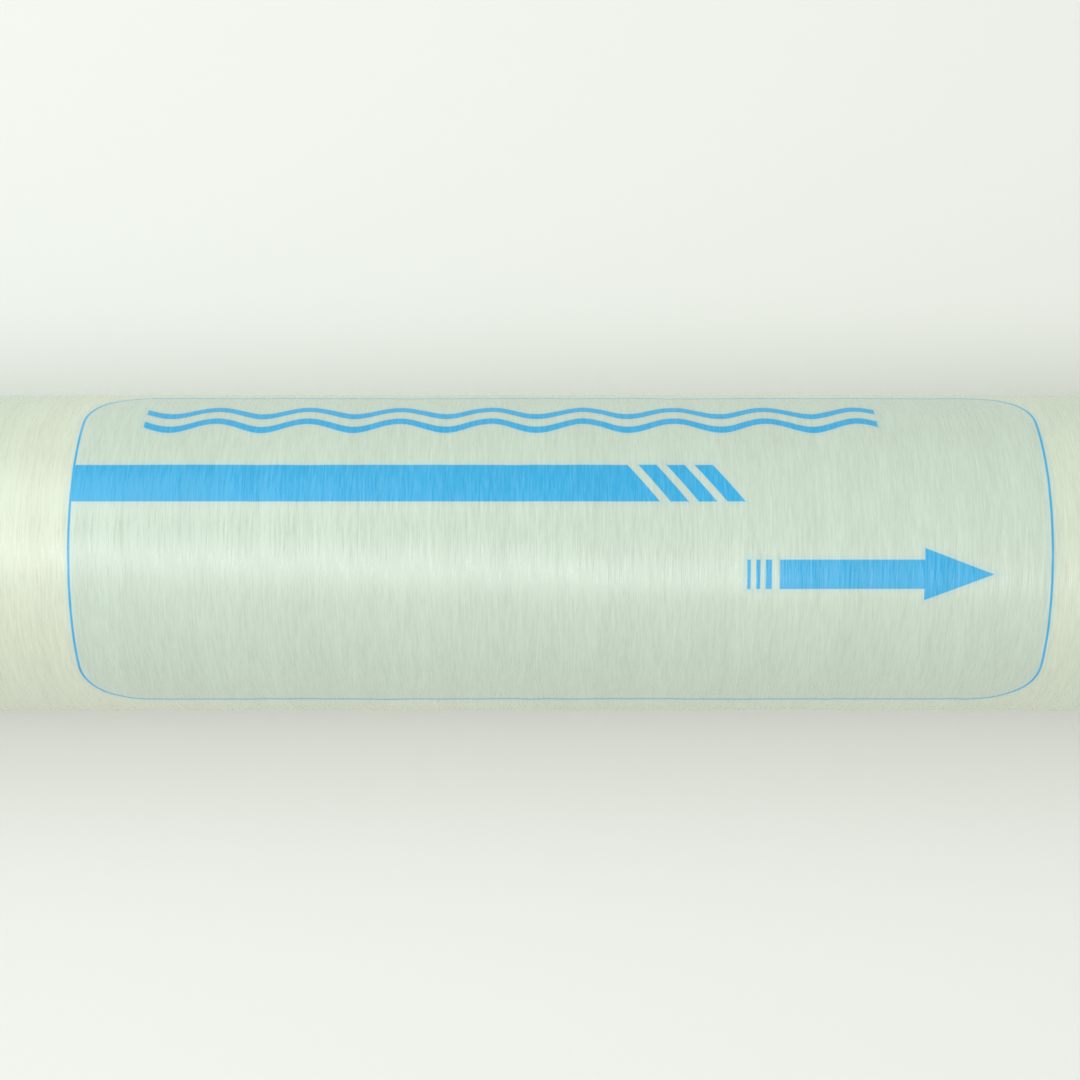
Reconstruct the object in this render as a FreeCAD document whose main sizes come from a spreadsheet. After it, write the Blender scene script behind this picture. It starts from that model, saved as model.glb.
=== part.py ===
"""Spiral-wound reverse osmosis membrane element, nominally four inches across and forty inches long.

Membrane leaves are wound round a perforated permeate tube, closed with tape, held between two spoked
anti-telescoping caps and locked in by a filament-wound glass-fibre shell. A printed film lies under the
glass, and a U-cup brine seal sits between the flange of the feed cap and the end of the shell.

Frame: millimetres. The origin is the centre of the permeate tube's feed end face. +X runs along the
tube in the direction of flow, +Z is up through the middle of the printed film.
"""

import FreeCAD
import Part
import Sketcher
import math
import os

# ---------------------------------------------------------------- driving dimensions

DIMENSIONS = [
    ("element_length", 1016, "permeate tube, end face to end face"),
    ("tube_projection", 26.7, "tube standing out past each cap"),
    ("tube_bore", 15.0, "inside diameter of the permeate tube"),
    ("tube_end_diameter", 19.05, "turned ends that the O-ring couplers slide over"),
    ("tube_seat_diameter", 19.5, "tube between the ends, where the caps and the roll sit"),
    ("tube_chamfer", 1.0, "lead-in on the tube's ends"),
    ("perforation_diameter", 3.2, "permeate holes"),
    ("perforation_pitch", 240, "spacing of the holes along the tube"),
    ("perforation_count", 3, "permeate holes in their row"),
    ("core_wrap", 0.7, "permeate cloth wound on the tube before the leaves"),
    ("leaf_count", 5, "leaves wound together"),
    ("leaf_layers", 8, "leaf thicknesses between the core and the tape"),
    ("leaf_thickness", 4.54, "folded membrane, feed spacer and permeate carrier"),
    ("leaf_tip", 0.5, "thickness at which a leaf's tapered ends are cut off"),
    ("tape_slack", 0.15, "gap between the roll and its tape, radially"),
    ("tape_thickness", 0.25, "closing tape round the finished roll"),
    ("film_length", 307, "printed film, along the tube"),
    ("film_wrap", 158, "printed film, degrees round the roll"),
    ("film_thickness", 0.2, "printed film"),
    ("resin_gap", 0.2, "resin that bonds the shell to what it is wound over, radially"),
    ("shell_wall", 2.6, "glass-fibre and epoxy winding"),
    ("cap_depth", 20.0, "cap, from its outer face to the roll"),
    ("barrel_wall", 5.0, "barrel of the cap, radially"),
    ("flange_width", 2.75, "flange between the cap's face and the seal groove"),
    ("groove_width", 6.4, "bare barrel between the flange and the shell"),
    ("hub_wall", 4.6, "hub of the cap, radially"),
    ("hub_clearance", 0.1, "radial gap between hub and tube"),
    ("spoke_count", 8, "spokes of the cap"),
    ("spoke_width", 2.4, "thickness of a spoke"),
    ("seal_clearance", 0.15, "gap round the seal in its groove"),
    ("seal_heel", 2.4, "solid heel of the U-cup"),
    ("seal_flare", 2.4, "lip standing out past the shell"),
]

document = FreeCAD.newDocument("MembraneElement")
sheet = document.addObject("Spreadsheet::Sheet", "dims")
for row, (alias, size, meaning) in enumerate(DIMENSIONS, start=1):
    sheet.set(f"A{row}", alias)
    sheet.set(f"B{row}", str(size))
    sheet.set(f"C{row}", meaning)
    sheet.setAlias(f"B{row}", alias)
document.recompute()

# Sizes that follow from the driving ones, as expressions that the features share.
END_R = "dims.tube_end_diameter / 2"
SEAT_R = "dims.tube_seat_diameter / 2"
CORE_R = f"({SEAT_R} + dims.core_wrap)"
CENTRE_OFFSET = "(dims.leaf_thickness / (2 * tan(180 deg / dims.leaf_count)))"
ROLL_R = (
    f"sqrt((sqrt({CORE_R}^2 - {CENTRE_OFFSET}^2) + dims.leaf_layers * dims.leaf_thickness)^2"
    f" + {CENTRE_OFFSET}^2)"
)
TAPE_BORE_R = f"({ROLL_R} + dims.tape_slack)"
TAPE_R = f"({TAPE_BORE_R} + dims.tape_thickness)"
SHELL_BORE_R = f"({TAPE_R} + dims.resin_gap)"
SHELL_R = f"({SHELL_BORE_R} + dims.shell_wall)"
ROLL_START = "(dims.tube_projection + dims.cap_depth)"
ROLL_LENGTH = f"(dims.element_length - 2 * {ROLL_START})"
HUB_BORE_R = f"({SEAT_R} + dims.hub_clearance)"
HUB_R = f"({HUB_BORE_R} + dims.hub_wall)"
RIM_R = f"({TAPE_R} - dims.barrel_wall)"


def number(expression):
    """The value that an expression has now."""
    return float(sheet.evalExpression(expression))


# ---------------------------------------------------------------- modelling helpers


def new_body(label, x="0"):
    """A body whose own frame starts at x along the tube."""
    body = document.addObject("PartDesign::Body", label)
    body.Label = label
    body.setExpression("Placement.Base.x", x)
    return body


def new_sketch(body, name, role):
    """An empty sketch on one of the body's own origin planes."""
    sketch = body.newObject("Sketcher::SketchObject", name)
    plane = next(f for f in body.Origin.OriginFeatures if f.Role == role)
    sketch.AttachmentSupport = [(plane, "")]
    sketch.MapMode = "FlatFace"
    return sketch


def bind(sketch, constraint, expression):
    """Adds a dimension to the sketch and ties it to the sheet."""
    index = sketch.addConstraint(constraint)
    sketch.setExpression(f"Constraints[{index}]", expression)


def section(body, name, corners):
    """A closed half section in the XZ plane. Each corner is a pair of expressions: x and radius."""
    sketch = new_sketch(body, name, "XZ_Plane")
    points = [FreeCAD.Vector(number(x), number(r), 0) for x, r in corners]
    count = len(points)
    for i in range(count):
        sketch.addGeometry(Part.LineSegment(points[i], points[(i + 1) % count]), False)
    for i in range(count):
        sketch.addConstraint(Sketcher.Constraint("Coincident", i, 2, (i + 1) % count, 1))
    for i, (x, r) in enumerate(corners):
        bind(sketch, Sketcher.Constraint("DistanceX", -1, 1, i, 1, points[i].x), x)
        bind(sketch, Sketcher.Constraint("DistanceY", -1, 1, i, 1, points[i].y), r)
    return sketch


def turn(body, name, corners, kind="PartDesign::Revolution", degrees=None):
    """Revolves a half section about the tube's axis, fully or by an angle centred on the top."""
    sketch = section(body, name + "_section", corners)
    feature = body.newObject(kind, name)
    feature.Profile = (sketch, [""])
    feature.ReferenceAxis = (sketch, ["H_Axis"])
    feature.Angle = 360
    if degrees:
        feature.Midplane = True
        feature.setExpression("Angle", degrees)
    body.Tip = feature
    return feature


def ring(label, start, length, inner, outer):
    """A plain tube round the axis, such as a wrap of tape."""
    body = new_body(label, start)
    turn(body, label + "_turn", [("0", inner), ("0", outer), (length, outer), (length, inner)])
    return body


# ---------------------------------------------------------------- permeate tube


def permeate_tube():
    """Perforated centre tube that collects the permeate and stands out of both caps."""
    body = new_body("permeate_tube")
    length, chamfer, bore = "dims.element_length", "dims.tube_chamfer", "dims.tube_bore / 2"
    step = "dims.tube_projection"
    turn(
        body,
        "tube",
        [
            ("0", bore),
            ("0", f"{END_R} - {chamfer}"),
            (chamfer, END_R),
            (step, END_R),
            (step, SEAT_R),
            (f"{length} - {step}", SEAT_R),
            (f"{length} - {step}", END_R),
            (f"{length} - {chamfer}", END_R),
            (length, f"{END_R} - {chamfer}"),
            (length, bore),
        ],
    )
    sketch = new_sketch(body, "hole_sketch", "XY_Plane")
    row_length = "(dims.perforation_pitch * (dims.perforation_count - 1))"
    first = f"({length} - {row_length}) / 2"
    radius, centre = number("dims.perforation_diameter / 2"), FreeCAD.Vector(number(first), 0, 0)
    sketch.addGeometry(Part.Circle(centre, FreeCAD.Vector(0, 0, 1), radius), False)
    bind(sketch, Sketcher.Constraint("Radius", 0, radius), "dims.perforation_diameter / 2")
    bind(sketch, Sketcher.Constraint("DistanceX", -1, 1, 0, 3, centre.x), first)
    sketch.addConstraint(Sketcher.Constraint("PointOnObject", 0, 3, -1))
    hole = body.newObject("PartDesign::Pocket", "permeate_hole")
    hole.Profile = sketch
    hole.setExpression("Length", "dims.tube_seat_diameter")
    hole.Reversed = True
    row = body.newObject("PartDesign::LinearPattern", "permeate_holes")
    row.Originals = [hole]
    row.Direction = (sketch, ["H_Axis"])
    row.setExpression("Occurrences", "dims.perforation_count")
    row.setExpression("Length", row_length)
    body.Tip = row
    return body


# ---------------------------------------------------------------- wound leaves


def leaf_outline(leaf):
    """The section of one leaf, as a wire in the YZ plane.

    The leaves are wound as the involute of a regular polygon with one side per leaf. Every sector of the
    roll then has one centre, all sheets in it are arcs round that centre, and each arc is one leaf
    thickness outside the last, so neighbouring leaves touch face to face. A leaf starts as a wedge on
    the core and ends as a wedge under the tape. Both wedges are cut off where they get too thin.
    """
    leaves = round(number("dims.leaf_count"))
    layers = round(number("dims.leaf_layers"))
    thickness = number("dims.leaf_thickness")
    core, roll = number(CORE_R), number(ROLL_R)
    offset = number(CENTRE_OFFSET)
    sector = 2 * math.pi / leaves
    centre_radius = thickness / (2 * math.sin(sector / 2))
    first_arc = thickness / 2 + math.sqrt(core**2 - offset**2)
    cut = number("dims.leaf_tip / dims.leaf_thickness")

    def point(index, radius, share):
        """A point of the sheet at that radius in that sector, share of the way through the sector."""
        middle = index * sector
        centre = middle + math.pi / 2
        direction = middle + (share - 0.5) * sector
        return FreeCAD.Vector(
            0,
            centre_radius * math.cos(centre) + radius * math.cos(direction),
            centre_radius * math.sin(centre) + radius * math.sin(direction),
        )

    def sheet_arc(index, radius, start=0.0, end=1.0):
        shares = (start, (start + end) / 2, end)
        return Part.Arc(*[point(index, radius, share) for share in shares]).toShape()

    def round_arc(radius, begin, end):
        """An arc about the tube's axis, from the direction of one point to that of another."""
        first = math.atan2(begin.z, begin.y)
        last = math.atan2(end.z, end.y)
        last += 2 * math.pi if last < first else 0
        angles = (first, (first + last) / 2, last)
        places = [FreeCAD.Vector(0, radius * math.cos(a), radius * math.sin(a)) for a in angles]
        return Part.Arc(*places).toShape()

    last_arc = first_arc + (layers - 1) * thickness
    outer = [sheet_arc(leaf, first_arc, start=cut)]
    inner = [round_arc(core, point(leaf, first_arc, cut), point(leaf + 1, first_arc, 0))]
    for layer in range(1, layers):
        outer.append(sheet_arc(leaf + layer, first_arc + layer * thickness))
        inner.append(sheet_arc(leaf + layer, first_arc + (layer - 1) * thickness))
    tip = leaf + layers
    outer.append(round_arc(roll, point(tip, last_arc + thickness, 0), point(tip, last_arc, 1 - cut)))
    inner.append(sheet_arc(tip, last_arc, end=1 - cut))

    def joint(edge_a, end_a, edge_b, end_b):
        return Part.LineSegment(edge_a.valueAt(end_a), edge_b.valueAt(end_b)).toShape()

    start_cut = joint(inner[0], inner[0].FirstParameter, outer[0], outer[0].FirstParameter)
    end_cut = joint(outer[-1], outer[-1].LastParameter, inner[-1], inner[-1].LastParameter)
    return Part.Wire(Part.__sortEdges__([start_cut, *outer, end_cut, *inner]))


def membrane_leaf(leaf):
    """One leaf of the roll: membrane folded over its feed spacer and glued to its permeate carrier."""
    label = f"membrane_leaf_{leaf + 1}"
    feature = document.addObject("Part::Feature", label)
    feature.Label = label
    face = Part.Face(leaf_outline(leaf))
    feature.Shape = face.extrude(FreeCAD.Vector(number(ROLL_LENGTH), 0, 0))
    feature.Placement = FreeCAD.Placement(
        FreeCAD.Vector(number(ROLL_START), 0, 0), FreeCAD.Rotation()
    )
    return feature


# ---------------------------------------------------------------- film and shell

FILM_START = "((dims.element_length - dims.film_length) / 2)"
FILM_BORE_R = SHELL_BORE_R
FILM_R = f"({FILM_BORE_R} + dims.film_thickness)"
FILM_SEAT_R = f"({FILM_R} + dims.resin_gap)"


def film_section(start, inner, outer):
    """A section over the film's stretch of the tube, in a frame that begins at start."""
    near = f"{FILM_START} - {start}"
    far = f"{near} + dims.film_length"
    return [(near, inner), (near, outer), (far, outer), (far, inner)]


def printed_film():
    """Film that carries the print, wrapped over the top half of the taped roll."""
    body = new_body("printed_film")
    turn(body, "film", film_section("0", FILM_BORE_R, FILM_R), degrees="dims.film_wrap")
    return body


def fibreglass_shell():
    """Filament-wound shell, bonded over the barrels of both caps and laid over the film."""
    start = "(dims.tube_projection + dims.flange_width + dims.groove_width)"
    length = f"(dims.element_length - 2 * {start})"
    body = new_body("fibreglass_shell", start)
    turn(body, "winding", [("0", SHELL_BORE_R), ("0", SHELL_R), (length, SHELL_R), (length, SHELL_BORE_R)])
    seat = film_section(start, SHELL_BORE_R, FILM_SEAT_R)
    turn(body, "film_seat", seat, "PartDesign::Groove", "dims.film_wrap")
    return body


# ---------------------------------------------------------------- anti-telescoping caps


def window(body):
    """Cuts one opening between two spokes: flat against the hub, round against the rim."""
    sketch = new_sketch(body, "window_sketch", "YZ_Plane")
    half, pitch = number("dims.spoke_width / 2"), math.radians(number("360 / dims.spoke_count"))
    hub, rim = number(HUB_R), number(RIM_R)
    hub_lean, rim_lean = math.asin(half / hub), math.asin(half / rim)

    def at(radius, angle):
        return FreeCAD.Vector(radius * math.cos(angle), radius * math.sin(angle), 0)

    hub_low, hub_high = at(hub, hub_lean), at(hub, pitch - hub_lean)
    rim_low, rim_high = at(rim, rim_lean), at(rim, pitch - rim_lean)
    circle = Part.Circle(FreeCAD.Vector(0, 0, 0), FreeCAD.Vector(0, 0, 1), rim)
    low, round_side, high, flat_side = range(4)
    sketch.addGeometry(Part.LineSegment(hub_low, rim_low), False)
    sketch.addGeometry(Part.ArcOfCircle(circle, rim_lean, pitch - rim_lean), False)
    sketch.addGeometry(Part.LineSegment(rim_high, hub_high), False)
    sketch.addGeometry(Part.LineSegment(hub_high, hub_low), False)
    for first, first_end, second, second_end in (
        (low, 2, round_side, 1),
        (round_side, 2, high, 1),
        (high, 2, flat_side, 1),
        (flat_side, 2, low, 1),
        (round_side, 3, -1, 1),
    ):
        sketch.addConstraint(Sketcher.Constraint("Coincident", first, first_end, second, second_end))
    sketch.addConstraint(Sketcher.Constraint("Horizontal", low))
    bind(sketch, Sketcher.Constraint("Radius", round_side, rim), RIM_R)
    bind(sketch, Sketcher.Constraint("Distance", -1, 1, low, 1, hub), HUB_R)
    bind(sketch, Sketcher.Constraint("Distance", -1, 1, high, 2, hub), HUB_R)
    bind(sketch, Sketcher.Constraint("DistanceY", -1, 1, low, 1, half), "dims.spoke_width / 2")
    bind(sketch, Sketcher.Constraint("Distance", -1, 1, high, half), "dims.spoke_width / 2")
    bind(sketch, Sketcher.Constraint("Angle", low, 1, high, 2, pitch), "360 deg / dims.spoke_count")
    pocket = body.newObject("PartDesign::Pocket", "window")
    pocket.Profile = sketch
    pocket.Type = "ThroughAll"
    pocket.Reversed = True
    body.Tip = pocket
    return pocket


def end_cap(label, x, turned):
    """Anti-telescoping cap: flange, barrel for the seal and the shell, spokes and hub."""
    body = new_body(label, x)
    if turned:
        body.Placement = FreeCAD.Placement(
            body.Placement.Base, FreeCAD.Rotation(FreeCAD.Vector(0, 0, 1), 180)
        )
    turn(
        body,
        "wheel",
        [
            ("0", HUB_BORE_R),
            ("0", SHELL_R),
            ("dims.flange_width", SHELL_R),
            ("dims.flange_width", TAPE_R),
            ("dims.cap_depth", TAPE_R),
            ("dims.cap_depth", HUB_BORE_R),
        ],
    )
    opening = window(body)
    around = body.newObject("PartDesign::PolarPattern", "windows")
    around.Originals = [opening]
    around.Axis = (next(f for f in body.Origin.OriginFeatures if f.Role == "X_Axis"), [""])
    around.Angle = 360
    around.setExpression("Occurrences", "dims.spoke_count")
    body.Tip = around
    return body


# ---------------------------------------------------------------- brine seal


def brine_seal():
    """U-cup between the feed cap's flange and the shell. Its flared lip opens towards the feed."""
    body = new_body("brine_seal", "dims.tube_projection + dims.flange_width")
    mouth = "dims.seal_clearance"
    back = "(dims.groove_width - dims.seal_clearance)"
    lip = f"({SHELL_R} + dims.seal_flare)"
    turn(
        body,
        "cup",
        [
            (mouth, TAPE_R),
            (f"{back} - dims.seal_heel", f"({TAPE_R} + {SHELL_R}) / 2"),
            (mouth, lip),
            (back, f"{SHELL_R} - dims.seal_clearance"),
            (back, TAPE_R),
        ],
    )
    return body


# ---------------------------------------------------------------- build, check, export

sub_parts = [
    permeate_tube(),
    ring("core_wrap", ROLL_START, ROLL_LENGTH, SEAT_R, CORE_R),
    *[membrane_leaf(leaf) for leaf in range(round(number("dims.leaf_count")))],
    ring("closing_tape", ROLL_START, ROLL_LENGTH, TAPE_BORE_R, TAPE_R),
    printed_film(),
    fibreglass_shell(),
    end_cap("feed_end_cap", "dims.tube_projection", turned=False),
    end_cap("brine_end_cap", "dims.element_length - dims.tube_projection", turned=True),
    brine_seal(),
]
document.recompute()

for item in document.Objects:
    if "Invalid" in item.State or "Error" in item.State:
        raise RuntimeError(f"{item.Label} did not build: {item.State}")
for sub_part in sub_parts:
    shape = sub_part.Shape
    if shape.isNull() or not shape.isValid() or len(shape.Solids) != 1:
        raise RuntimeError(f"{sub_part.Label} is not one valid solid")

os.makedirs("parts", exist_ok=True)
for sub_part in sub_parts:
    sub_part.Shape.exportStep(os.path.join("parts", sub_part.Label + ".step"))
    print(f"{sub_part.Label}: {sub_part.Shape.Volume / 1000:.1f} cm3")
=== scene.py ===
import math

import bmesh
import bpy
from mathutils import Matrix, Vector


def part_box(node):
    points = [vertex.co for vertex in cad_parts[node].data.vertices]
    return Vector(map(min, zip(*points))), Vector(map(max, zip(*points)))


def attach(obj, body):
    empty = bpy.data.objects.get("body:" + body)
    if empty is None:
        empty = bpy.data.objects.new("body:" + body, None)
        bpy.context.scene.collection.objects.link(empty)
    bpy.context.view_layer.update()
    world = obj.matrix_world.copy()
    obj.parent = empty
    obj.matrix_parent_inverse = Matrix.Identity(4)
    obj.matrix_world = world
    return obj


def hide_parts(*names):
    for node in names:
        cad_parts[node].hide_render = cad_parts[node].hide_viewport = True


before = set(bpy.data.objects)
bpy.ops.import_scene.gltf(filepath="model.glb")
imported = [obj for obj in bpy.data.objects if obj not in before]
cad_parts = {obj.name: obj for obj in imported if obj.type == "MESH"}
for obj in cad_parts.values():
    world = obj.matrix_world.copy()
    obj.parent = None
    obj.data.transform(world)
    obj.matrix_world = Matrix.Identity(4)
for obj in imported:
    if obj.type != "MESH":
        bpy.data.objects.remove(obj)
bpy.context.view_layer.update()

# ------------------------------------------------------------------ permeate tube
# The tube that collects the clean water, extruded in pale grey plastic and drilled through its wall.
# Both ends are turned down to a smooth seat for the O-ring couplers, so they show fine lathe rings.

MM = 0.001


def new_material(name, colour, roughness, **sockets):
    """A Principled material. Returns the material, its node tree and its shader."""
    material = bpy.data.materials.new(name)
    material.use_nodes = True
    tree = material.node_tree
    shader = tree.nodes["Principled BSDF"]
    shader.inputs["Base Color"].default_value = (*colour, 1)
    shader.inputs["Roughness"].default_value = roughness
    for socket, value in sockets.items():
        shader.inputs[socket.replace("_", " ")].default_value = value
    material.diffuse_color = (*colour, 1)
    return material, tree, shader


def put(tree, kind, **inputs):
    """Adds a node. Its inputs are given by name, each a value or another node's output."""
    node = tree.nodes.new(kind)
    fill(tree, node, inputs)
    return node


def fill(tree, node, inputs):
    """Sets or links a node's inputs, by name or as i0, i1 and so on by place."""
    for name, value in inputs.items():
        key = int(name[1:]) if name[0] == "i" and name[1:].isdigit() else name.replace("_", " ")
        if isinstance(value, bpy.types.NodeSocket):
            tree.links.new(value, node.inputs[key])
        else:
            node.inputs[key].default_value = value


def math_node(tree, operation, *values):
    """The result of one Math node on numbers or other nodes' outputs."""
    node = tree.nodes.new("ShaderNodeMath")
    node.operation = operation
    fill(tree, node, {f"i{i}": value for i, value in enumerate(values)})
    return node.outputs[0]


def ramp(tree, value, low, high, start=0.0, end=1.0):
    """Maps low..high to start..end smoothly and holds it outside."""
    node = tree.nodes.new("ShaderNodeMapRange")
    node.interpolation_type = "SMOOTHSTEP"
    fill(tree, node, {"i0": value, "i1": low, "i2": high, "i3": start, "i4": end})
    return node.outputs[0]


def mix_colour(tree, share, first, second, blend="MIX"):
    """Mixes two colours, each a triple or another node's output."""
    node = tree.nodes.new("ShaderNodeMix")
    node.data_type = "RGBA"
    node.blend_type = blend
    for index, value in ((0, share), (6, first), (7, second)):
        if isinstance(value, tuple):
            value = (*value, 1)
        fill(tree, node, {f"i{index}": value})
    return node.outputs[2]


def new_group(name, inputs, outputs):
    """A shader node group. An input is a number, or a vector where its value is None."""
    group = bpy.data.node_groups.new(name, "ShaderNodeTree")
    for label, value in inputs.items():
        kind = "NodeSocketVector" if value is None else "NodeSocketFloat"
        socket = group.interface.new_socket(label, in_out="INPUT", socket_type=kind)
        if value is not None:
            socket.default_value = value
    for label in outputs:
        group.interface.new_socket(label, in_out="OUTPUT", socket_type="NodeSocketFloat")
    return group, group.nodes.new("NodeGroupInput").outputs, group.nodes.new("NodeGroupOutput")


def use_group(tree, group, **inputs):
    """Adds a node group to a tree and returns its outputs."""
    node = tree.nodes.new("ShaderNodeGroup")
    node.node_tree = group
    fill(tree, node, inputs)
    return node.outputs


def make_drawn_grain():
    """Noise drawn out into streaks: fine across X and long in Y and Z, so that it runs round X."""
    inputs = {"Vector": None, "Across": 1500.0, "Along": 20.0}
    group, given, out = new_group("drawn_grain", inputs, ["Grain"])
    split = put(group, "ShaderNodeSeparateXYZ", Vector=given["Vector"])
    x = math_node(group, "MULTIPLY", split.outputs[0], given["Across"])
    y = math_node(group, "MULTIPLY", split.outputs[1], given["Along"])
    z = math_node(group, "MULTIPLY", split.outputs[2], given["Along"])
    drawn = put(group, "ShaderNodeCombineXYZ", X=x, Y=y, Z=z).outputs[0]
    grain = put(group, "ShaderNodeTexNoise", Vector=drawn, Scale=1.0, Detail=2.0, Roughness=0.6)
    group.links.new(grain.outputs[0], out.inputs[0])
    return group


def noise(tree, place, scale, detail):
    """Even noise from 0 to 1 at so many grains to the metre."""
    return put(tree, "ShaderNodeTexNoise", Vector=place, Scale=scale, Detail=detail).outputs[0]


def object_coordinates(tree):
    return tree.nodes.new("ShaderNodeTexCoord").outputs["Object"]


def bump(tree, shader, height, distance):
    """Raises a material's surface by so many metres where the height is 1."""
    node = put(tree, "ShaderNodeBump", Height=height, Distance=distance, Strength=1.0)
    tree.links.new(node.outputs[0], shader.inputs["Normal"])


def dress(node_name, material):
    """Gives a CAD node its finish."""
    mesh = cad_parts[node_name].data
    mesh.materials.clear()
    mesh.materials.append(material)


DRAWN_GRAIN = make_drawn_grain()
TUBE_COLOUR = (0.62, 0.63, 0.60)
TUBE_SHADE = (0.54, 0.55, 0.52)

tube_plastic, tree, shader = new_material("tube_plastic", TUBE_COLOUR, 0.34)
place = object_coordinates(tree)
rings = use_group(tree, DRAWN_GRAIN, Vector=place, Across=2200.0, Along=6.0)[0]
cloud = noise(tree, place, 55.0, 3.0)
tone = mix_colour(tree, ramp(tree, cloud, 0.35, 0.7), TUBE_COLOUR, TUBE_SHADE)
tree.links.new(tone, shader.inputs["Base Color"])
tree.links.new(ramp(tree, rings, 0.3, 0.7, 0.28, 0.42), shader.inputs["Roughness"])
bump(tree, shader, rings, 0.04 * MM)
dress("permeate_tube", tube_plastic)

# ------------------------------------------------------------------ membrane roll
# Five leaves wound round the tube. Each is a folded membrane sheet with a spacer net inside the fold
# and a knitted carrier behind it, glued along three edges. Only the trimmed ends show, between spokes.

LEAF_COUNT = 5
LEAF_THICKNESS = 4.54 * MM
LEAF_SHEETS = 3
# The net's colour, darkened to carry painted shade in the gaps between the sheets.
NET_AND_GAP_SHADE = (0.56, 0.55, 0.48)
SHEET_COLOUR = (0.80, 0.78, 0.70)
CARRIER_COLOUR = (0.66, 0.64, 0.56)


def distance_from_axis(tree, split):
    """How far a point lies from the X axis, given its separated coordinates."""
    squares = [math_node(tree, "MULTIPLY", split.outputs[i], split.outputs[i]) for i in (1, 2)]
    return math_node(tree, "SQRT", math_node(tree, "ADD", *squares))


membrane, tree, shader = new_material("membrane", SHEET_COLOUR, 0.6)
place = object_coordinates(tree)
split = put(tree, "ShaderNodeSeparateXYZ", Vector=place)
angle = math_node(tree, "ARCTAN2", split.outputs[2], split.outputs[1])
radius = distance_from_axis(tree, split)
sheet_pitch = LEAF_THICKNESS / LEAF_SHEETS
rise_per_radian = LEAF_COUNT * LEAF_THICKNESS / (2 * math.pi)
coil = math_node(tree, "SUBTRACT", radius, math_node(tree, "MULTIPLY", angle, rise_per_radian))
layer = math_node(tree, "FRACT", math_node(tree, "DIVIDE", coil, sheet_pitch))
wave = math_node(tree, "PINGPONG", layer, 0.5)
# Dark lines where the sheets meet: the spacer net's own colour plus painted shade in the recessed gaps.
tone = mix_colour(tree, ramp(tree, wave, 0.1, 0.3), NET_AND_GAP_SHADE, SHEET_COLOUR)
speck = noise(tree, place, 900.0, 2.0)
tone = mix_colour(tree, ramp(tree, speck, 0.45, 0.7, 0.0, 0.5), tone, CARRIER_COLOUR)
tree.links.new(tone, shader.inputs["Base Color"])
height = math_node(tree, "ADD", wave, math_node(tree, "MULTIPLY", speck, 0.5))
bump(tree, shader, height, 0.4 * MM)
for leaf in range(LEAF_COUNT):
    dress(f"membrane_leaf_{leaf + 1}", membrane)

carrier_cloth, tree, shader = new_material("permeate_cloth", CARRIER_COLOUR, 0.8)
weave = noise(tree, object_coordinates(tree), 1500.0, 1.0)
bump(tree, shader, weave, 0.1 * MM)
tone = mix_colour(tree, ramp(tree, weave, 0.4, 0.6), CARRIER_COLOUR, SHEET_COLOUR)
tree.links.new(tone, shader.inputs["Base Color"])
dress("core_wrap", carrier_cloth)

TAPE_COLOUR = (0.70, 0.72, 0.68)
TAPE_SHADE = (0.64, 0.67, 0.62)

closing_tape, tree, shader = new_material("closing_tape", TAPE_COLOUR, 0.3)
weave = use_group(tree, DRAWN_GRAIN, Vector=object_coordinates(tree), Across=300.0, Along=30.0)[0]
bump(tree, shader, weave, 0.05 * MM)
tone = mix_colour(tree, ramp(tree, weave, 0.4, 0.6), TAPE_COLOUR, TAPE_SHADE)
tree.links.new(tone, shader.inputs["Base Color"])
dress("closing_tape", closing_tape)

# ------------------------------------------------------------------ glass-fibre shell and printed film
# Glass rovings wet with resin are wound hoop on hoop over the roll, its tape and a printed film, and
# cured. The film lies under the glass, so its print shows through, softened and streaked by fibres.

SHELL_LOW, SHELL_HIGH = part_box("fibreglass_shell")
SHELL_RADIUS = (SHELL_HIGH.z - SHELL_LOW.z) / 2
SHELL_WALL = SHELL_RADIUS - (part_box("closing_tape")[1].z)
FILM_CENTRE = sum(corner.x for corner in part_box("printed_film")) / 2

PANEL_HALF_LENGTH = 141.7 * MM
PANEL_HALF_WIDTH = 59.6 * MM
PANEL_CORNER = 19 * MM
PANEL_LINE = 0.65 * MM
BAND_LOW, BAND_HIGH = 11.1 * MM, 23.1 * MM
BAND_END = 24.2 * MM
BAND_SLANT = -0.76
STRIPE_PITCH, STRIPE_WIDTH = 8.2 * MM, 5.3 * MM
STRIPE_GAP = 3.1 * MM
ARROW_LEVEL = -10.4 * MM
ARROW_HALF_WIDTH = 4.3 * MM
ARROW_BARS = ((53.8, 54.8), (56.4, 57.6), (59.1, 60.9), (63.2, 105.5))
HEAD_START, HEAD_TIP = 105 * MM, 125 * MM
HEAD_HALF_WIDTH = 7.7 * MM
WAVE_LEVELS = (39.5 * MM, 46.5 * MM)
WAVE_CENTRE, WAVE_HALF_LENGTH = -14.6 * MM, 109 * MM
WAVE_RISE, WAVE_LENGTH, WAVE_HALF_WIDTH = 2.2 * MM, 27.25 * MM, 1.5 * MM

GLASS_COLOUR = (0.560, 0.640, 0.510)
GLASS_CLOUD = (0.600, 0.655, 0.525)
PANEL_COLOUR = (0.508, 0.605, 0.510)
PRINT_BLUE = (0.003, 0.355, 0.670)


def make_cylinder_map():
    """Unrolls a cylinder round X: U along it from a centre, V along its arc, up on the far side."""
    inputs = {"Vector": None, "Centre": 0.0, "Radius": 0.05}
    group, given, out = new_group("unrolled", inputs, ["U", "V"])
    split = put(group, "ShaderNodeSeparateXYZ", Vector=given["Vector"])
    group.links.new(math_node(group, "SUBTRACT", split.outputs[0], given["Centre"]), out.inputs[0])
    angle = math_node(group, "ARCTAN2", split.outputs[1], split.outputs[2])
    group.links.new(math_node(group, "MULTIPLY", angle, given["Radius"]), out.inputs[1])
    return group


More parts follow.
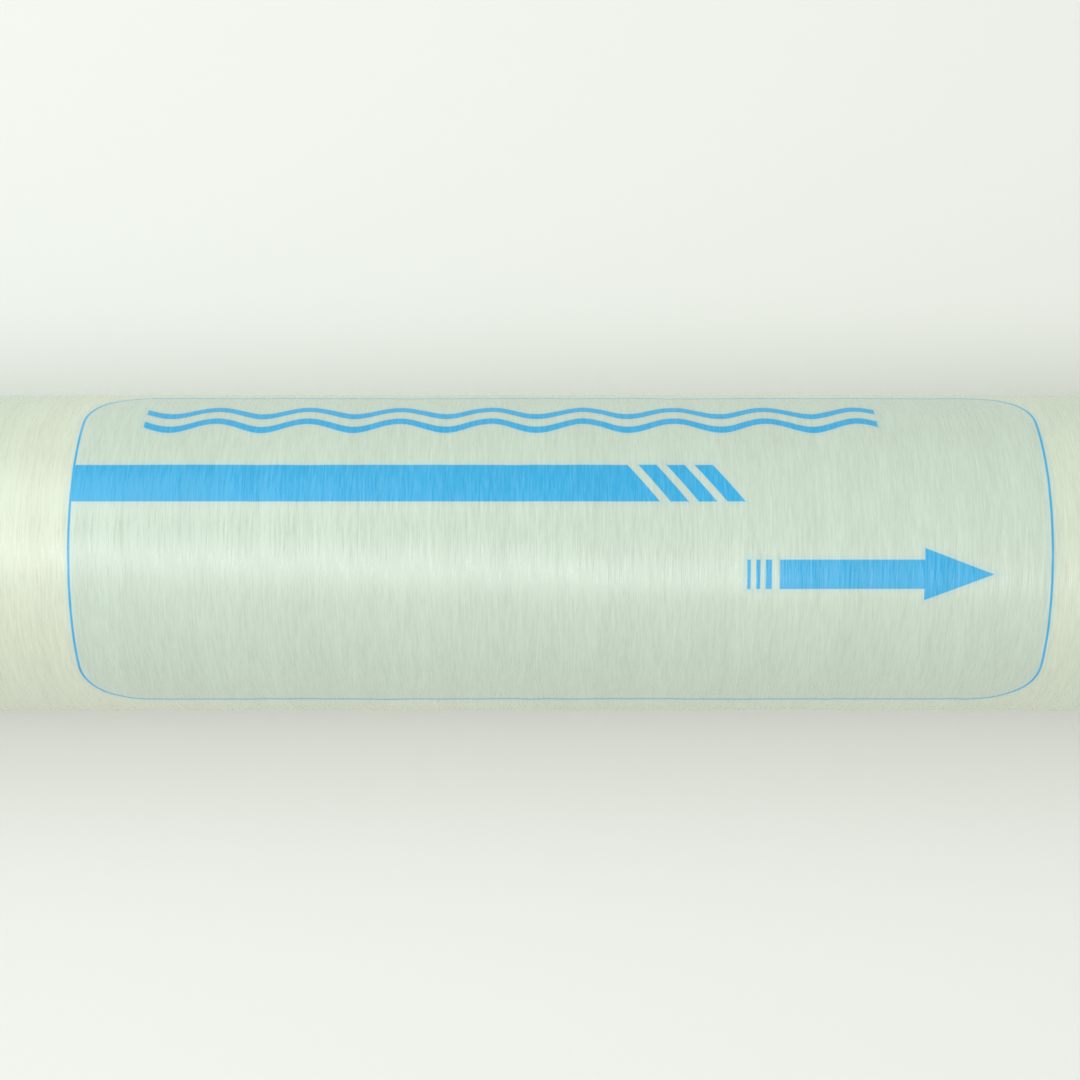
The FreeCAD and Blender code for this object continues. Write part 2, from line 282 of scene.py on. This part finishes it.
def make_bar():
    """Distance to a bar with slanted ends, negative inside."""
    inputs = {
        "U": 0.0, "V": 0.0, "Centre U": 0.0, "Centre V": 0.0,
        "Half Length": 0.01, "Half Width": 0.01, "Slant": 0.0,
    }
    group, given, out = new_group("print_bar", inputs, ["Distance"])
    v = math_node(group, "SUBTRACT", given["V"], given["Centre V"])
    u = math_node(group, "SUBTRACT", given["U"], given["Centre U"])
    u = math_node(group, "SUBTRACT", u, math_node(group, "MULTIPLY", v, given["Slant"]))
    across = math_node(group, "SUBTRACT", math_node(group, "ABSOLUTE", v), given["Half Width"])
    along = math_node(group, "SUBTRACT", math_node(group, "ABSOLUTE", u), given["Half Length"])
    group.links.new(math_node(group, "MAXIMUM", across, along), out.inputs[0])
    return group


def make_panel():
    """Distance to a rectangle with round corners about the middle of the film, negative inside."""
    inputs = {"U": 0.0, "V": 0.0, "Half Length": 0.1, "Half Width": 0.05, "Corner": 0.01}
    group, given, out = new_group("print_panel", inputs, ["Distance"])
    sides = []
    for place, half in (("U", "Half Length"), ("V", "Half Width")):
        reach = math_node(group, "SUBTRACT", given[half], given["Corner"])
        sides.append(math_node(group, "SUBTRACT", math_node(group, "ABSOLUTE", given[place]), reach))
    outside = [math_node(group, "MAXIMUM", side, 0.0) for side in sides]
    squares = [math_node(group, "MULTIPLY", side, side) for side in outside]
    corner = math_node(group, "SQRT", math_node(group, "ADD", *squares))
    inside = math_node(group, "MINIMUM", math_node(group, "MAXIMUM", *sides), 0.0)
    distance = math_node(group, "SUBTRACT", math_node(group, "ADD", corner, inside), given["Corner"])
    group.links.new(distance, out.inputs[0])
    return group


def make_wave_line():
    """Distance to a wavy line, negative inside."""
    inputs = {
        "U": 0.0, "V": 0.0, "Centre V": 0.0, "Rise": 0.002, "Length": 0.03, "Half Width": 0.001,
    }
    group, given, out = new_group("print_wave", inputs, ["Distance"])
    turns = math_node(group, "DIVIDE", given["U"], given["Length"])
    swing = math_node(group, "SINE", math_node(group, "MULTIPLY", turns, 2 * math.pi))
    v = math_node(group, "SUBTRACT", given["V"], given["Centre V"])
    v = math_node(group, "SUBTRACT", v, math_node(group, "MULTIPLY", swing, given["Rise"]))
    distance = math_node(group, "SUBTRACT", math_node(group, "ABSOLUTE", v), given["Half Width"])
    group.links.new(distance, out.inputs[0])
    return group


UNROLLED = make_cylinder_map()
PRINT_BAR = make_bar()
PRINT_PANEL = make_panel()
PRINT_WAVE = make_wave_line()


def nearest(tree, distances):
    """The least of several distances: the union of their shapes."""
    found = distances[0]
    for distance in distances[1:]:
        found = math_node(tree, "MINIMUM", found, distance)
    return found


def printed_shapes(tree, u, v):
    """Distance to the blue shapes that lie inside the panel: waves, band, stripes and flow arrow."""

    def bar(left, right, low, high, slant=0.0):
        return use_group(
            tree, PRINT_BAR, U=u, V=v, Slant=slant,
            Centre_U=(left + right) / 2, Half_Length=(right - left) / 2,
            Centre_V=(low + high) / 2, Half_Width=(high - low) / 2,
        )[0]

    square_end = bar(-PANEL_HALF_LENGTH, 0.0, BAND_LOW, BAND_HIGH)
    slanted_end = bar(BAND_END - 100 * MM, BAND_END, BAND_LOW, BAND_HIGH, BAND_SLANT)
    shapes = [square_end, slanted_end]
    for stripe in range(3):
        left = BAND_END + STRIPE_GAP + stripe * STRIPE_PITCH
        shapes.append(bar(left, left + STRIPE_WIDTH, BAND_LOW, BAND_HIGH, BAND_SLANT))

    low, high = ARROW_LEVEL - ARROW_HALF_WIDTH, ARROW_LEVEL + ARROW_HALF_WIDTH
    shapes += [bar(left * MM, right * MM, low, high) for left, right in ARROW_BARS]
    slope = HEAD_HALF_WIDTH / (HEAD_TIP - HEAD_START)
    from_tip = math_node(tree, "SUBTRACT", HEAD_TIP, u)
    off_axis = math_node(tree, "ABSOLUTE", math_node(tree, "SUBTRACT", v, ARROW_LEVEL))
    side = math_node(tree, "SUBTRACT", off_axis, math_node(tree, "MULTIPLY", from_tip, slope))
    side = math_node(tree, "MULTIPLY", side, math.cos(math.atan(slope)))
    shapes.append(math_node(tree, "MAXIMUM", side, math_node(tree, "SUBTRACT", HEAD_START, u)))

    from_middle = math_node(tree, "ABSOLUTE", math_node(tree, "SUBTRACT", u, WAVE_CENTRE))
    reach = math_node(tree, "SUBTRACT", from_middle, WAVE_HALF_LENGTH)
    for level in WAVE_LEVELS:
        wave = use_group(
            tree, PRINT_WAVE, U=u, V=v, Centre_V=level,
            Rise=WAVE_RISE, Length=WAVE_LENGTH, Half_Width=WAVE_HALF_WIDTH,
        )[0]
        shapes.append(math_node(tree, "MAXIMUM", wave, reach))
    return nearest(tree, shapes)


def build_shell_finish():
    """Resin full of hoop-wound fibres, with the print drawn in it on the unrolled cylinder."""
    material, tree, shader = new_material("wound_glass", GLASS_COLOUR, 0.32)
    place = object_coordinates(tree)
    unrolled = use_group(tree, UNROLLED, Vector=place, Centre=FILM_CENTRE, Radius=SHELL_RADIUS)
    u, v = unrolled[0], unrolled[1]
    fibre = use_group(tree, DRAWN_GRAIN, Vector=place, Across=2100.0, Along=150.0)[0]
    strand = use_group(tree, DRAWN_GRAIN, Vector=place, Across=700.0, Along=45.0)[0]
    tow = use_group(tree, DRAWN_GRAIN, Vector=place, Across=130.0, Along=14.0)[0]
    cloud = noise(tree, place, 9.0, 2.0)

    panel = use_group(
        tree, PRINT_PANEL, U=u, V=v,
        Half_Length=PANEL_HALF_LENGTH, Half_Width=PANEL_HALF_WIDTH, Corner=PANEL_CORNER,
    )[0]
    line = math_node(tree, "SUBTRACT", math_node(tree, "ABSOLUTE", panel), PANEL_LINE / 2)
    blue = math_node(tree, "MINIMUM", printed_shapes(tree, u, v), line)

    glass = mix_colour(tree, ramp(tree, cloud, 0.35, 0.65), GLASS_COLOUR, GLASS_CLOUD)
    tone = mix_colour(tree, ramp(tree, panel, 0.0, -2 * MM), glass, PANEL_COLOUR)
    ink = ramp(tree, blue, 0.22 * MM, -0.2 * MM)
    halo = ramp(tree, blue, 2.2 * MM, 0.0, 0.0, 0.10)
    cover = ramp(tree, fibre, 0.4, 0.8, 1.0, 0.88)
    tone = mix_colour(tree, halo, tone, PRINT_BLUE)
    tone = mix_colour(tree, math_node(tree, "MULTIPLY", ink, cover), tone, PRINT_BLUE)
    tree.links.new(ramp(tree, ink, 0.0, 1.0, 0.95, 0.75), shader.inputs["Specular IOR Level"])
    streak = ramp(tree, fibre, 0.25, 0.75, 0.95, 1.05)
    streak = math_node(tree, "MULTIPLY", streak, ramp(tree, strand, 0.2, 0.8, 0.97, 1.02))
    streak = math_node(tree, "MULTIPLY", streak, ramp(tree, tow, 0.2, 0.8, 0.97, 1.02))
    grey = put(tree, "ShaderNodeCombineColor", Red=streak, Green=streak, Blue=streak).outputs[0]
    tone = mix_colour(tree, 1.0, tone, grey, "MULTIPLY")
    tree.links.new(tone, shader.inputs["Base Color"])
    tree.links.new(ramp(tree, fibre, 0.3, 0.7, 0.24, 0.46), shader.inputs["Roughness"])
    height = math_node(tree, "MULTIPLY", fibre, 0.3)
    height = math_node(tree, "ADD", height, strand)
    height = math_node(tree, "ADD", height, math_node(tree, "MULTIPLY", tow, 2.0))
    bump(tree, shader, height, 0.17 * MM)
    return material


def lathe(name, corners, sides):
    """A closed ring turned round the X axis from a closed section of (x, radius) corners."""
    mesh = bpy.data.meshes.new(name)
    count = len(corners)
    vertices, faces = [], []
    for side in range(sides):
        turn = 2 * math.pi * side / sides
        vertices += [(x, radius * math.sin(turn), radius * math.cos(turn)) for x, radius in corners]
    for side in range(sides):
        here, there = side * count, (side + 1) % sides * count
        for i in range(count):
            j = (i + 1) % count
            faces.append((here + i, there + i, there + j, here + j))
    mesh.from_pydata(vertices, [], faces)
    piece = bpy.data.objects.new(name, mesh)
    bpy.context.scene.collection.objects.link(piece)
    return point_out(piece)


def point_out(piece):
    """Merges doubles and turns every face of a closed mesh outwards."""
    shape = bmesh.new()
    shape.from_mesh(piece.data)
    bmesh.ops.remove_doubles(shape, verts=shape.verts, dist=1e-6)
    bmesh.ops.recalc_face_normals(shape, faces=shape.faces)
    shape.to_mesh(piece.data)
    shape.free()
    return piece


def smooth(piece, degrees=35):
    """Shades a piece smooth, with sharp edges kept where it folds by more than so many degrees."""
    limit = math.radians(degrees)
    shape = bmesh.new()
    shape.from_mesh(piece.data)
    for face in shape.faces:
        face.smooth = True
    for edge in shape.edges:
        edge.smooth = edge.calc_face_angle(0.0) < limit
    shape.to_mesh(piece.data)
    shape.free()
    return piece


def make_winding_relief():
    """Presses a turned shell's outer wall in by a little, in ridges that run round it like tows."""
    tree = bpy.data.node_groups.new("winding_relief", "GeometryNodeTree")
    tree.interface.new_socket("Geometry", in_out="INPUT", socket_type="NodeSocketGeometry")
    numbers = {"Bore Radius": 0.04, "Tow Relief": 0.0002, "Sag Relief": 0.0002, "Seed": 1.0}
    for label, value in numbers.items():
        socket = tree.interface.new_socket(label, in_out="INPUT", socket_type="NodeSocketFloat")
        socket.default_value = value
    tree.interface.new_socket("Material", in_out="INPUT", socket_type="NodeSocketMaterial")
    tree.interface.new_socket("Geometry", in_out="OUTPUT", socket_type="NodeSocketGeometry")
    given = tree.nodes.new("NodeGroupInput").outputs
    out = tree.nodes.new("NodeGroupOutput")
    position = tree.nodes.new("GeometryNodeInputPosition").outputs[0]
    split = put(tree, "ShaderNodeSeparateXYZ", Vector=position)
    radius = distance_from_axis(tree, split)
    on_outside = math_node(tree, "GREATER_THAN", radius, given["Bore Radius"])
    depth = None
    for relief, across, along in (("Tow Relief", 190.0, 9.0), ("Sag Relief", 32.0, 22.0)):
        x = math_node(tree, "MULTIPLY", split.outputs[0], across)
        y = math_node(tree, "MULTIPLY", split.outputs[1], along)
        z = math_node(tree, "MULTIPLY", split.outputs[2], along)
        stretched = put(tree, "ShaderNodeCombineXYZ", X=x, Y=y, Z=z).outputs[0]
        ridges = tree.nodes.new("ShaderNodeTexNoise")
        ridges.noise_dimensions = "4D"
        fill(tree, ridges, {"Vector": stretched, "W": given["Seed"], "Scale": 1.0, "Detail": 1.0})
        part = math_node(tree, "MULTIPLY", ridges.outputs[0], given[relief])
        depth = part if depth is None else math_node(tree, "ADD", depth, part)
    depth = math_node(tree, "MULTIPLY", depth, on_outside)
    share = math_node(tree, "MULTIPLY", math_node(tree, "DIVIDE", depth, radius), -1.0)
    inward = put(
        tree, "ShaderNodeCombineXYZ", X=0.0,
        Y=math_node(tree, "MULTIPLY", split.outputs[1], share),
        Z=math_node(tree, "MULTIPLY", split.outputs[2], share),
    ).outputs[0]
    moved = put(tree, "GeometryNodeSetPosition", Geometry=given["Geometry"], Offset=inward)
    whole = put(tree, "GeometryNodeRealizeInstances", Geometry=moved.outputs[0])
    painted = put(
        tree, "GeometryNodeSetMaterial", Geometry=whole.outputs[0], Material=given["Material"]
    )
    tree.links.new(painted.outputs[0], out.inputs[0])
    return tree


def plain_mesh(piece):
    """Keeps what a piece's modifiers make as its plain mesh."""
    depsgraph = bpy.context.evaluated_depsgraph_get()
    result = bpy.data.meshes.new_from_object(piece.evaluated_get(depsgraph))
    piece.modifiers.clear()
    piece.data = result
    result.name = piece.name


def grow(piece, tree, **settings):
    """Runs a Geometry Nodes tree on a piece with the named inputs."""
    modifier = piece.modifiers.new(tree.name, "NODES")
    modifier.node_group = tree
    for socket in tree.interface.items_tree:
        key = socket.name.replace(" ", "_")
        if socket.in_out == "INPUT" and key in settings:
            modifier[socket.identifier] = settings[key]
    plain_mesh(piece)


RING_STEP = 1.5 * MM
SHELL_SIDES = 144
EDGE_ROUND = 0.6 * MM


def shell_section():
    """Section of the shell, its outer wall in short steps that can carry the winding's relief."""
    start, end, bore = SHELL_LOW.x, SHELL_HIGH.x, SHELL_RADIUS - SHELL_WALL
    length = end - start - 2 * EDGE_ROUND
    steps = round(length / RING_STEP)
    along = [start + EDGE_ROUND + length * i / steps for i in range(steps + 1)]
    outer = [(start, SHELL_RADIUS - EDGE_ROUND)] + [(x, SHELL_RADIUS) for x in along]
    return outer + [(end, SHELL_RADIUS - EDGE_ROUND), (end, bore), (start, bore)]


shell = lathe("wound_shell", shell_section(), SHELL_SIDES)
wound_glass = build_shell_finish()
grow(
    shell, make_winding_relief(), Bore_Radius=SHELL_RADIUS - SHELL_WALL / 2,
    Tow_Relief=0.35 * MM, Sag_Relief=0.45 * MM, Seed=3.0, Material=wound_glass,
)
smooth(shell)
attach(shell, "root")
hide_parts("fibreglass_shell")

film, tree, shader = new_material("printed_film", PANEL_COLOUR, 0.3)
crease = noise(tree, object_coordinates(tree), 60.0, 2.0)
tree.links.new(mix_colour(tree, crease, PANEL_COLOUR, GLASS_COLOUR), shader.inputs["Base Color"])
dress("printed_film", film)

# ------------------------------------------------------------------ anti-telescoping caps
# Spoked wheels moulded in black plastic. They keep the wound leaves from sliding out under the flow,
# and the shell is wound over their barrels. The feed cap's bare groove holds the seal.

CAP_BLACK = (0.020, 0.020, 0.022)
CAP_SHEEN = (0.032, 0.033, 0.036)

cap_plastic, tree, shader = new_material("cap_plastic", CAP_BLACK, 0.5)
grain = noise(tree, object_coordinates(tree), 1400.0, 2.0)
swirl = noise(tree, object_coordinates(tree), 70.0, 3.0)
tone = mix_colour(tree, ramp(tree, swirl, 0.35, 0.7), CAP_BLACK, CAP_SHEEN)
tree.links.new(tone, shader.inputs["Base Color"])
tree.links.new(ramp(tree, swirl, 0.3, 0.7, 0.42, 0.58), shader.inputs["Roughness"])
bump(tree, shader, grain, 0.04 * MM)


def softened_copy(node_name, piece_name, edge, material):
    """A copy of a CAD node with its flat faces joined and its edges rounded, to stand for it."""
    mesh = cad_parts[node_name].data.copy()
    mesh.materials.clear()
    mesh.materials.append(material)
    piece = bpy.data.objects.new(piece_name, mesh)
    bpy.context.scene.collection.objects.link(piece)
    shape = bmesh.new()
    shape.from_mesh(mesh)
    bmesh.ops.remove_doubles(shape, verts=shape.verts, dist=1e-6)
    flat = math.radians(1)
    bmesh.ops.dissolve_limit(shape, angle_limit=flat, verts=shape.verts, edges=shape.edges)
    shape.to_mesh(mesh)
    shape.free()
    rounding = piece.modifiers.new("rounding", "BEVEL")
    rounding.width = edge
    rounding.segments = 2
    rounding.limit_method = "ANGLE"
    rounding.angle_limit = math.radians(40)
    rounding.use_clamp_overlap = True
    plain_mesh(piece)
    return smooth(piece)


for end in ("feed", "brine"):
    cap = softened_copy(f"{end}_end_cap", f"{end}_cap_moulding", 0.35 * MM, cap_plastic)
    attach(cap, "root")
    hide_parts(f"{end}_end_cap")

# ------------------------------------------------------------------ brine seal
# A moulded rubber U-cup round the feed cap. Its lip flares out towards the feed and closes the gap
# between the element and the vessel, and the flow itself presses it outwards.

RUBBER_BLACK = (0.016, 0.016, 0.017)
RUBBER_BLOOM = (0.035, 0.036, 0.038)

seal_rubber, tree, shader = new_material("seal_rubber", RUBBER_BLACK, 0.55)
bloom = noise(tree, object_coordinates(tree), 120.0, 4.0)
tone = mix_colour(tree, ramp(tree, bloom, 0.45, 0.75), RUBBER_BLACK, RUBBER_BLOOM)
tree.links.new(tone, shader.inputs["Base Color"])
tree.links.new(ramp(tree, bloom, 0.3, 0.7, 0.45, 0.65), shader.inputs["Roughness"])
bump(tree, shader, bloom, 0.03 * MM)
seal = softened_copy("brine_seal", "lip_seal", 0.25 * MM, seal_rubber)
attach(seal, "root")
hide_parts("brine_seal")

# ------------------------------------------------------------------ studio
# A plain pale floor just under the seal's lip, a long soft lamp above that draws the highlight, a
# weaker cool one from the other side, and a camera that looks almost straight down on the print.

FLOOR_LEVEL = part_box("brine_seal")[0].z - 0.1 * MM
FLOOR_COLOUR = (0.765, 0.780, 0.755)
FLOOR_SIZE = 40
SKY_COLOUR = (1, 0.985, 0.95)
SKY_STRENGTH = 0.8
FILL_COLOUR = (0.86, 1.0, 0.99)
CAMERA_ELEVATION = math.radians(85)
CAMERA_DISTANCE = 0.6
CAMERA_LENS = 63.8
AIM_SHIFT, AIM_RISE = -5.9 * MM, 3.9 * MM


def build_floor():
    bpy.ops.mesh.primitive_plane_add(size=FLOOR_SIZE, location=(FILM_CENTRE, 0, FLOOR_LEVEL))
    floor = bpy.context.object
    floor.name = "studio_floor"
    material = new_material("studio_floor", FLOOR_COLOUR, 0.7, Specular_IOR_Level=0.2)[0]
    floor.data.materials.append(material)


def area_lamp(name, at, aim, size, power, colour=(1, 1, 1)):
    """A soft rectangular lamp of so many watts, turned towards its aim."""
    lamp = bpy.data.lights.new(name, "AREA")
    lamp.shape = "RECTANGLE"
    lamp.size, lamp.size_y = size
    lamp.energy = power
    lamp.color = colour
    holder = bpy.data.objects.new(name, lamp)
    bpy.context.scene.collection.objects.link(holder)
    holder.location = at
    holder.rotation_euler = (Vector(aim) - Vector(at)).to_track_quat("-Z", "Y").to_euler()


def build_world():
    world = bpy.data.worlds.new("studio")
    bpy.context.scene.world = world
    world.use_nodes = True
    background = world.node_tree.nodes["Background"]
    background.inputs["Color"].default_value = (*SKY_COLOUR, 1)
    background.inputs["Strength"].default_value = SKY_STRENGTH


def build_camera():
    back = Vector((0, -math.cos(CAMERA_ELEVATION), math.sin(CAMERA_ELEVATION)))
    up = Vector((0, math.sin(CAMERA_ELEVATION), math.cos(CAMERA_ELEVATION)))
    aim = Vector((FILM_CENTRE + AIM_SHIFT, 0, 0)) + up * AIM_RISE
    lens = bpy.data.cameras.new("camera")
    lens.lens = CAMERA_LENS
    lens.sensor_width = 36
    camera = bpy.data.objects.new("camera", lens)
    bpy.context.scene.collection.objects.link(camera)
    camera.location = aim + back * CAMERA_DISTANCE
    camera.rotation_euler = (-back).to_track_quat("-Z", "Y").to_euler()
    bpy.context.scene.camera = camera


build_floor()
build_world()
area_lamp(
    "overhead", at=(FILM_CENTRE - 0.25, -0.32, 1.45), aim=(FILM_CENTRE, 0, 0), size=(1.6, 0.3), power=6.5
)
area_lamp(
    "fill", at=(FILM_CENTRE - 0.75, 0.6, 1.1), aim=(FILM_CENTRE - 0.1, 0, 0),
    size=(1.2, 0.8), power=5.3, colour=FILL_COLOUR,
)
build_camera()
bpy.context.scene.view_settings.view_transform = "Standard"
